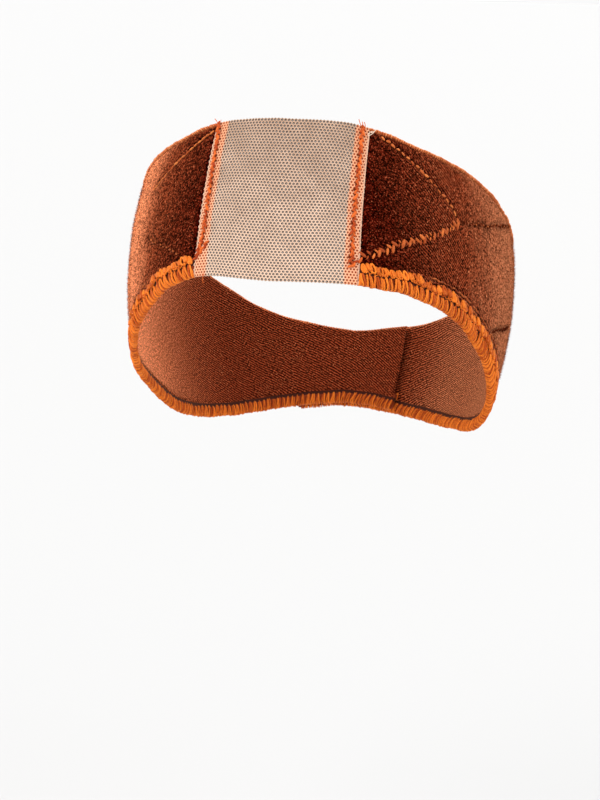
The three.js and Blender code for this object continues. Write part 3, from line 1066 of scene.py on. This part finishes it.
def makeStitchPattern():
    tree = Pattern(
        "stitch row", path="", stitchLength=0.002, stitchWidth=0.0005, stitchRise=0.0003, pitch=0.0025,
        slant=0.0, sideStep=0.0, ragged=0.0, seed=1)
    headingWobble, sizeWobble, sizeByRagged, astrayOut = 0.08, 0.10, 700.0, 0.35
    curve = tree.add("GeometryNodeMeshToCurve", None, {"Mesh": tree.path})[0]
    points = tree.add("GeometryNodeCurveToPoints", {"mode": "LENGTH"}, {"Curve": curve, "Length": tree.pitch})
    # The stitches lean and step to one side and the other in turn
    swing = (tree.index() % 2.0) * 2.0 - 1.0
    tx, ty = tree.parts(points["Tangent"])[:2]
    wobble = tree.random(-1.0, 1.0, tree.seed)
    heading = tree.call("ARCTAN2", ty, tx) + swing * tree.slant + wobble * headingWobble
    aside = tree.vector(-1.0 * ty, tx, 0.0) * (swing * tree.sideStep)
    astray = [tree.random(-1.0, 1.0, tree.seed + float(shift)) * tree.ragged for shift in (11, 12, 13)]
    aside = aside + tree.vector(astray[0], astray[1], astray[2] * astrayOut)
    spots = tree.move(points["Points"], Offset=aside)
    stitch = tree.add("GeometryNodeMeshUVSphere", None, {"Segments": 8, "Rings": 5, "Radius": 0.5})[0]
    stitch = tree.transform(stitch, Rotation=(0, math.pi / 2, 0))
    stitchSize = tree.vector(tree.stitchLength, tree.stitchWidth, tree.stitchRise * 2.0)
    stitch = tree.transform(stitch, Scale=stitchSize)
    size = 1.0 + wobble * (tree.ragged * sizeByRagged + sizeWobble)
    copies = tree.copy(spots, stitch, Rotation=tree.vector(0.0, 0.0, heading), Scale=size)
    return tree.finishWith(tree.keep(copies, "shade", tree.random(0.0, 1.0, tree.seed + 3.0), "INSTANCE"))


stitchPattern = makeStitchPattern()
faceLays = {side: FaceLay(side) for side in (left, right)}


# A path through the points in even steps, with its corners rounded
def smoothPath(points, step=0.0004, rounds=12):
    points = np.asarray(points, float)
    lengths = lengthsAlong(points)
    at = np.linspace(0, lengths[-1], max(int(lengths[-1] / step), 8))
    path = np.stack([np.interp(at, lengths, points[:, k]) for k in range(3)], 1)
    for _ in range(rounds):
        path[1:-1] = (path[:-2] + 2 * path[1:-1] + path[2:]) / 4
    return path


# Each velvet side is a soft wall, drawn in along its stitched lines and gathered at the overlock

# The stitched lines, as turns in degrees and shares of the width from the lower edge
velvetLines = {
    "right": {
        "upper": [(24.2, 0.96), (29.5, 0.92), (36.2, 0.86), (43.5, 0.78), (49.5, 0.71), (52, 0.64)],
        "tail": [(52, 0.64), (58, 0.67), (64.8, 0.73), (80, 0.85), (93.5, 0.97)],
        "lower": [(52, 0.62), (43.2, 0.49), (35, 0.37), (30, 0.32), (24.5, 0.23), (20.5, 0.19)],
        "slanting": [(72.5, 0.19), (79, 0.28), (83.8, 0.33), (93.5, 0.43)],
    },
    "left": {
        "upper": [
            (-21.4, 0.945), (-23.8, 0.925), (-26.5, 0.90), (-30.8, 0.86), (-36.2, 0.82), (-41.2, 0.78),
            (-45.2, 0.76)],
        "lower": [(-26.5, 0.20), (-29.8, 0.26), (-40, 0.42), (-43, 0.45)],
    },
}


def flatLine(word, line):
    turns, shares = zip(*velvetLines[word][line])
    x, y = faceLays[sides[word]].flat(turns, shares)
    return smoothPath(np.stack([x, y, 0 * x], 1))


# Sparse loose fibres that stand out of the pile and soften its outline
pile = {"density": 1.1e6, "length": 0.0009, "radius": 0.00006, "lean": 0.7, "seed": 91}


def makePilePattern():
    tree = Pattern("loose pile", body="", density=1e6, length=0.0008, radius=0.00006, lean=0.7, seed=1)
    aboveInnerFace = 0.0012
    outer = tree.larger(tree.parts(tree.position())[2], aboveInnerFace)
    spots = tree.add("GeometryNodeDistributePointsOnFaces", None, {
        "Mesh": tree.body, "Selection": outer, "Density": tree.density, "Seed": tree.seed})["Points"]
    fibre = tree.add("GeometryNodeMeshCone", {"fill_type": "NGON"}, {
        "Vertices": 3, "Side Segments": 1, "Radius Top": 0.0, "Radius Bottom": tree.radius,
        "Depth": tree.length})["Mesh"]
    leanX, leanY = (tree.random(-1.0, 1.0, seed) * tree.lean for seed in (3, 4))
    turn = tree.vector(leanX, leanY, tree.random(0.0, 6.28, 5))
    return tree.finishWith(tree.copy(spots, fibre, Rotation=turn, Scale=tree.random(0.6, 1.2, 6)))


pilePattern = makePilePattern()

# Two rows of chain stitch above the overlock: turns in degrees and heights over the lower edge
topstitching = {
    "turns": (40, 55, 70, 85, 100, 125, 150, 188),
    "rows": (
        (0.0078, 0.0081, 0.0083, 0.0088, 0.0092, 0.0092, 0.0092, 0.0092),
        (0.0090, 0.0095, 0.0099, 0.0108, 0.0116, 0.0112, 0.0110, 0.0110)),
    "sunkBy": 0.0001,
}


def topstitchPath(word, row):
    side = sides[word]
    x = faceLays[side].flat([side * turn for turn in topstitching["turns"]], 0)[0]
    height = velvet["thickness"] - topstitching["sunkBy"]
    return smoothPath([(a, b, height) for a, b in zip(x, topstitching["rows"][row])])


# How far stitches press the cloth in, from 0 to 1, worked out for a batch of them at a time
def pressedBy(stitches, x, y, batch=40):
    pull = np.zeros_like(x)
    for start in range(0, len(stitches), batch):
        some = stitches[start:start + batch]
        apart = np.hypot(x[:, None] - some[None, :, 0], y[:, None] - some[None, :, 1]).min(axis=1)
        pull = np.maximum(pull, np.exp(-(apart / velvet["dentWidth"]) ** 2))
    return pull


def makeVelvetSide(name, word):
    cloth = faceLays[sides[word]]
    quilting = [flatLine(word, line) for line in velvetLines[word]]
    dents = np.vstack(quilting + [topstitchPath(word, row) for row in (0, 1)])[::2]
    pressed = []

    def at(u, v, face):
        x = u * cloth.length
        low = velvet["overEdging"]
        top = cloth.width(np.interp(x, cloth.lengths, cloth.turns)) - velvet["underHem"]
        y = low + (top - low) * v
        near = np.minimum(np.minimum(y - low, top - y), np.minimum(x, cloth.length - x))
        rounding = roundedRim(near, velvet["rim"])
        if face == 0:
            return np.stack([x, y, velvet["innerRim"] - velvet["innerRim"] * rounding], 1)
        swell = velvet["swell"] * (0.8 * softNoise(x, y, 0.012, 2.2) + 0.35 * softNoise(x, y, 0.0045, 7.7))
        ripple = np.sin(x * 2 * math.pi / overlock["pitch"] + 1.5 * softNoise(x, y, 0.02, 5.0))
        gather = velvet["gather"] * np.exp(-(y - low) / velvet["gatherReach"]) * ripple
        pull = pressedBy(dents, x, y)
        pressed.append(pull)
        lift = velvet["thickness"] * (0.5 + 0.5 * rounding) + (swell + gather) * rounding
        return np.stack([x, y, np.maximum(lift - velvet["dent"] * pull, velvet["thinnest"])], 1)

    mesh = wallMesh(name, velvet["columns"], velvet["rows"], at, finishes["velvet"])
    # Only the outer face is pressed, and its finish paints shade where it is pressed
    shares = np.concatenate([0 * pressed[0], pressed[0]])
    mesh.attributes.new("pressed", "FLOAT", "POINT").data.foreach_set("value", shares)
    fibres = pilePattern.make("fibres", {**pile, "finish": finishes["velvet"]}, mesh)
    return lay(mesh, cloth.place, name), lay(fibres, cloth.place, "loose_pile_" + word)


# The turned seam allowances under the net's side edges

seam = {
    "width": 0.005, "underVelvet": 0.0004, "thickness": 0.00138, "innerRim": 0.0003, "endMargin": 0.0002,
    "ragged": 0.00035, "columns": 12, "rows": 90,
}


# Flat places here have x in from the net's side edge and y up from its lower edge
def seamPlace(side):
    def place(flat):
        placed = flat.copy()
        placed[:, 0] = side * (netLay.width / 2 - flat[:, 0])
        return netLay.place(placed)

    return place


def makeSeamStrip(name, side):
    def at(u, v, face):
        y = v * (netLay.height - 2 * seam["endMargin"]) + seam["endMargin"]
        ragged = seam["ragged"] * softNoise(y, 0 * y, 0.0022, 3.3 + side)
        x = u * (seam["width"] + seam["underVelvet"] + ragged) - seam["underVelvet"]
        rounding = np.sqrt(np.clip(1 - (2 * u - 1) ** 10, 0, 1))
        outer = seam["thickness"] * (0.25 + 0.75 * rounding)
        inner = seam["innerRim"] - seam["innerRim"] * rounding
        return np.stack([x, y, outer if face else inner], 1)

    mesh = wallMesh(name, seam["columns"], seam["rows"], at, finishes["seamKnit"])
    return lay(mesh, seamPlace(side), name)


# The closure patch: woven tape with a field of small hooks

# Where the tape lies on the left strap, and how its hooks stand, bend and stray
closure = {
    "endMargin": 0.002, "showing": 0.009, "overEdge": 0.0097, "underTop": 0.0036, "base": 0.0007,
    "rim": 0.0006, "lift": 0.0023, "columns": 50, "rows": 24,
    "hookMargin": 0.002, "hookPitch": 0.0011, "hookRise": 0.00045, "hookRadius": 0.00009, "hookArc": 235,
    "hookMiddle": 0.0002, "hookReach": 0.00022, "hookBulge": 0.0001, "hookArch": 2.2, "hookTaper": 0.1,
    "hookWander": 0.25, "hookTurn": 0.7,
}


def makeHookPattern():
    look = closure
    tree = Pattern("hook field", body="", columns=10, rows=10, pitch=0.001, rise=0.0005, x=0.0, y=0.0)

    def hook(t):
        around = t * math.radians(look["hookArc"])
        bulge = tree.call("SINE", around) * look["hookBulge"]
        return tree.vector(
            look["hookMiddle"] - tree.call("COSINE", around) * look["hookReach"], 0.0,
            bulge + tree.rise * tree.call("SINE", t * look["hookArch"]))

    shape = strand(tree, 5, 4, look["hookRadius"], hook, look["hookTaper"])
    wander, turn = look["hookWander"], look["hookTurn"]
    shift = tree.vector(tree.random(-wander, wander, 5), tree.random(-wander, wander, 6), 0.0)
    spots = pointRows(tree, tree.pitch, shift * tree.pitch)
    copies = tree.copy(spots, shape, Rotation=tree.vector(0.0, 0.0, tree.random(-turn, turn, 9)))
    copies = tree.keep(copies, "shade", tree.random(0.0, 1.0, 12), "INSTANCE")
    field = tree.transform(copies, Translation=tree.vector(tree.x, tree.y, 0.0))
    return tree.finishWith(field, tree.body)


def makeClosure(name):
    cloth = faceLays[left]
    end = cloth.length - closure["endMargin"]
    start = cloth.length - straps["overlap"] - closure["showing"]
    middle = np.interp((start + end) / 2, cloth.lengths, cloth.turns)
    low, high = closure["overEdge"], float(cloth.width(np.array(middle))) - closure["underTop"]

    def at(u, v, face):
        x, y = start + (end - start) * u, low + (high - low) * v
        near = np.minimum(np.minimum(x - start, end - x), np.minimum(y - low, high - y))
        outer = closure["base"] * (0.4 + 0.6 * roundedRim(near, closure["rim"]))
        return np.stack([x, y, outer if face else 0 * x], 1)

    columns, rows = (
        int((length - closure["hookMargin"]) / closure["hookPitch"]) for length in (end - start, high - low))
    base = wallMesh(name, closure["columns"], closure["rows"], at, finishes["tape"])
    mesh = makeHookPattern().make(name, {
        "columns": columns, "rows": rows, "pitch": closure["hookPitch"], "rise": closure["hookRise"],
        "x": (start + end) / 2, "y": (low + high) / 2, "finish": finishes["tape"]}, base)
    return lay(mesh, lambda flat: cloth.place(flat + np.array([0, 0, closure["lift"]])), name)


print("patterns ready")


# The pieces on the body, with the CAD nodes that they stand for

dressed = {}


def dress(piece, node):
    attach(piece, "root")
    if node:
        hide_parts(node)
    dressed[piece.name] = piece


dress(netWindow, "lace_panel")

for word, side in sides.items():
    velvetPiece, loosePile = makeVelvetSide("velvet_" + word, word)
    dress(velvetPiece, "velvet_side_" + word)
    dress(loosePile, None)
    velvet["cutWidth"]
    faceLays[side].length
    velvet["area"]
    dress(makeOverlock("overlock_" + word, word), "lower_edging_" + word)
    dress(makeHem("hem_" + word, side), "upper_edging_" + word)
    dress(makeSeamStrip("seam_allowance_" + word, side), "seam_strip_" + word)
    print(word, "side ready")

dress(makeClosure("closure_tape"), "closure_patch")


# Sewing: rope stitches down the seams, quilting lines in the velvet, topstitching and strap ends

# Kinds of stitch
sewing = {
    "rope": {
        "finish": "seamThread", "stitchLength": 0.0026, "stitchWidth": 0.00095, "stitchRise": 0.00045,
        "pitch": 0.00105, "slant": 0.45, "sideStep": 0.00018, "ragged": 0.00018},
    "fine": {
        "finish": "quiltThread", "stitchLength": 0.0027, "stitchWidth": 0.00062, "stitchRise": 0.00055,
        "pitch": 0.0023, "slant": 0.10, "sideStep": 0.0, "ragged": 0.00008},
    "dashed": {
        "finish": "quiltThread", "stitchLength": 0.0023, "stitchWidth": 0.00080, "stitchRise": 0.00060,
        "pitch": 0.0026, "slant": 0.2, "sideStep": 0.0001, "ragged": 0.00015},
    "bold": {
        "finish": "boldThread", "stitchLength": 0.0026, "stitchWidth": 0.00100, "stitchRise": 0.00066,
        "pitch": 0.00130, "slant": 0.9, "sideStep": 0.00040, "ragged": 0.00045},
    "sunk": {
        "finish": "sunkThread", "stitchLength": 0.0013, "stitchWidth": 0.00060, "stitchRise": 0.00042,
        "pitch": 0.0025, "slant": 0.2, "sideStep": 0.00015, "ragged": 0.0002},
    # Dark beads that paint the shade of needle holes
    "holes": {
        "finish": "needleHole", "stitchLength": 0.00095, "stitchWidth": 0.00072, "stitchRise": 0.00058,
        "pitch": 0.0023, "slant": 0.3, "sideStep": 0.00012, "ragged": 0.00015},
    # Dark beads that paint the shade of needle holes in the net
    "pricks": {
        "finish": "prickHole", "stitchLength": 0.00095, "stitchWidth": 0.00075, "stitchRise": 0.00026,
        "pitch": 0.0021, "slant": 0.3, "sideStep": 0.00020, "ragged": 0.00022},
    "chain": {
        "finish": "sunkThread", "stitchLength": 0.0021, "stitchWidth": 0.00062, "stitchRise": 0.00045,
        "pitch": 0.0019, "slant": 0.20, "sideStep": 0.00008, "ragged": 0.0001},
}
# The kinds of stitch on each quilting line
lineStyles = {
    "right": {"upper": ["dashed"], "tail": ["holes", "sunk"], "lower": ["bold"], "slanting": ["holes"]},
    "left": {"upper": ["fine"], "lower": ["sunk"]},
}
# Paths of the rope stitches: distances in from the net's side edge and shares of its height
ropePaths = {
    "left": [
        [(0.0011, 0.985), (0.0022, 0.85), (0.0026, 0.6), (0.0027, 0.4), (0.0026, 0.27), (0.0021, 0.20),
         (0.0010, 0.145)],
        [(0.0046, 0.215), (0.0028, 0.17), (0.0004, 0.12)]],
    "right": [
        [(0.0030, 0.985), (0.0026, 0.8), (0.0028, 0.6), (0.0029, 0.4), (0.0030, 0.25), (0.0031, 0.14)],
        [(0.0002, 0.165), (0.0016, 0.145), (0.0030, 0.115)]],
}
# How high the ropes lie, how far their needle holes lie beside them and how deep quilting sinks.
# The strap's rows are distances in from its end, and run from a foot to a little under the top.
sewnAt = {
    "ropeHeight": 0.0024, "besideRope": 0.0007, "quiltingSunkBy": 0.0002,
    "strapRows": (0.0035, 0.0095), "strapRowFoot": 0.0115, "strapRowUnderTop": 0.0040,
}
# The net's folded edge and loose thread ends: a finish, a radius, and paths in from the net's side
# edge, up from its lower edge and out, in millimetres
netFold = ("foldThread", 0.00034, [[(0.25, 0.3, 1.75), (0.3, 20, 1.75), (0.25, 40, 1.75), (0.3, 57.6, 1.75)]])
looseThreads = {
    "left": [netFold, ("seamThread", 0.00013, [
        [(1.2, 57.5, 2.3), (0.9, 58.9, 2.7), (0.1, 60.2, 2.9), (-0.5, 60.7, 3.3)],
        [(1.4, 57.5, 2.3), (1.5, 59.0, 2.7), (2.3, 60.0, 2.8)],
        [(1.1, 57.6, 2.2), (0.4, 58.6, 3.0), (-0.6, 58.9, 3.2), (-1.4, 58.5, 3.0)],
        [(4.5, 1.2, 2.3), (4.7, -0.4, 2.5), (4.4, -1.9, 2.3), (4.9, -2.6, 2.3)]])],
    "right": [netFold, ("seamThread", 0.00013, [
        [(3.1, 57.3, 2.3), (3.6, 58.9, 2.7), (4.6, 60.3, 2.9), (5.0, 61.2, 3.1)],
        [(3.0, 57.3, 2.4), (3.0, 59.1, 2.8), (3.7, 60.6, 3.0)],
        [(2.9, 57.4, 2.3), (2.2, 58.8, 2.9), (2.5, 60.1, 2.9), (3.1, 60.5, 3.3)]]), ("paleThread", 0.00016, [
            [(1.0, 56.6, 2.4), (0.2, 57.8, 2.9), (-0.6, 58.3, 3.1), (-0.9, 57.5, 3.3), (-0.2, 56.9, 3.2),
             (0.4, 57.6, 3.1)],
            [(0.8, 56.2, 2.4), (-0.4, 56.9, 2.9), (-1.0, 58.0, 3.0), (-1.4, 58.9, 3.2)]])],
}


def makeLooseThreads(name, paths, radius, finish, place):
    tree = Pattern(name, path="", radius=0.0001)
    curve = tree.add("GeometryNodeMeshToCurve", None, {"Mesh": tree.path})[0]
    tree.finishWith(tube(tree, tree.keep(curve, "shade", 0.7), 4, tree.radius))
    smooth = [smoothPath(np.array(path) * mm, 0.00025) for path in paths]
    return lay(tree.make(name, {"radius": radius, "finish": finish}, pathMesh(name, *smooth)), place, name)


def sewOn(name, flatPath, place, style, seed):
    values = {**sewing[style], "seed": seed, "finish": finishes[sewing[style]["finish"]]}
    stitches = lay(stitchPattern.make(name, values, pathMesh(name, flatPath)), place, name)
    dress(stitches, None)


# The right strap lies outside, and its end shows two rows across it
def sewStrapRow(row):
    face = faceLays[right]
    x = face.length - sewnAt["strapRows"][row]
    top = float(face.width(np.array(strapEnd))) - sewnAt["strapRowUnderTop"]
    flatPath = smoothPath([(x, y, velvet["thickness"]) for y in (sewnAt["strapRowFoot"], top)])
    sewOn("strap_row_right_%d" % row, flatPath, face.place, "dashed", 51 + row)


for word, side in sides.items():
    face, beside = faceLays[side], seamPlace(side)
    for number, path in enumerate(ropePaths[word]):
        flatPath = smoothPath([(x, share * netLay.height, sewnAt["ropeHeight"]) for x, share in path])
        sewOn("seam_stitches_%s_%d" % (word, number), flatPath, beside, "rope", 5 + number)
        if number == 0:
            # Dark beads beside the rope paint the shade of its needle holes
            aside = flatPath + np.array([sewnAt["besideRope"], 0, 0])
            sewOn("needle_hole_shade_%s" % word, aside, beside, "pricks", 8)
    for line, styles in lineStyles[word].items():
        flatPath = flatLine(word, line)
        flatPath[:, 2] = velvet["thickness"] - sewnAt["quiltingSunkBy"]
        for number, style in enumerate(styles):
            sewOn("quilting_%s_%s_%d" % (word, line, number), flatPath, face.place, style, 17 + number)
    for row in (0, 1):
        sewOn("topstitch_%s_%d" % (word, row), topstitchPath(word, row), face.place, "chain", 31 + row)
        if side == right:
            sewStrapRow(row)
    for number, (finish, radius, paths) in enumerate(looseThreads[word]):
        name = "loose_threads_%s_%d" % (word, number)
        dress(makeLooseThreads(name, paths, radius, finishes[finish], beside), None)

print("sewing ready")


# Floor, light and air

stage = {
    "floorHeight": -0.30, "floorSize": 90.0, "floorTone": 0.62, "air": (1.0, 1.0, 1.0), "airStrength": 0.96,
}

floorMesh = bpy.data.meshes.new("floor")
half = stage["floorSize"] / 2
corners = [(x * half, y * half, stage["floorHeight"]) for x, y in ((-1, -1), (1, -1), (1, 1), (-1, 1))]
floorMesh.from_pydata(corners, [], [(0, 1, 2, 3)])
floor = bpy.data.objects.new("floor", floorMesh)
scene.collection.objects.link(floor)
floorFinish, floorGraph = newFinish("pale floor", Roughness=0.9)
floorGraph.shader.inputs["Base Color"].default_value = (*[stage["floorTone"]] * 3, 1)
floorMesh.materials.append(floorFinish)

world = bpy.data.worlds.new("air")
scene.world = world
world.use_nodes = True
air = world.node_tree.nodes["Background"].inputs
air["Color"].default_value = (*stage["air"], 1)
air["Strength"].default_value = stage["airStrength"]

# Broad soft suns: where each stands, how wide it looks and how strong it is
lights = {
    "key": {"from": (-0.75, -1.0, 1.0), "width": 50, "strength": 1.5, "colour": (1.0, 0.985, 0.96)},
    "fill": {"from": (1.2, -0.8, 0.6), "width": 60, "strength": 0.8, "colour": (0.97, 0.98, 1.0)},
    "rim": {"from": (0.3, 1.2, 1.1), "width": 50, "strength": 0.8, "colour": (1.0, 1.0, 1.0)},
}
for name, light in lights.items():
    data = bpy.data.lights.new(name, "SUN")
    data.angle = math.radians(light["width"])
    data.energy = light["strength"]
    data.color = light["colour"]
    lamp = bpy.data.objects.new(name, data)
    lamp.rotation_euler = (-Vector(light["from"])).to_track_quat("-Z", "Y").to_euler()
    scene.collection.objects.link(lamp)
scene.view_settings.view_transform = "Standard"

print("stage ready")

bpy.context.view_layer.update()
triangles = {name: sum(len(p.vertices) - 2 for p in piece.data.polygons) for name, piece in dressed.items()}
print("triangles:", sum(triangles.values()), max(triangles.items(), key=lambda item: item[1]))
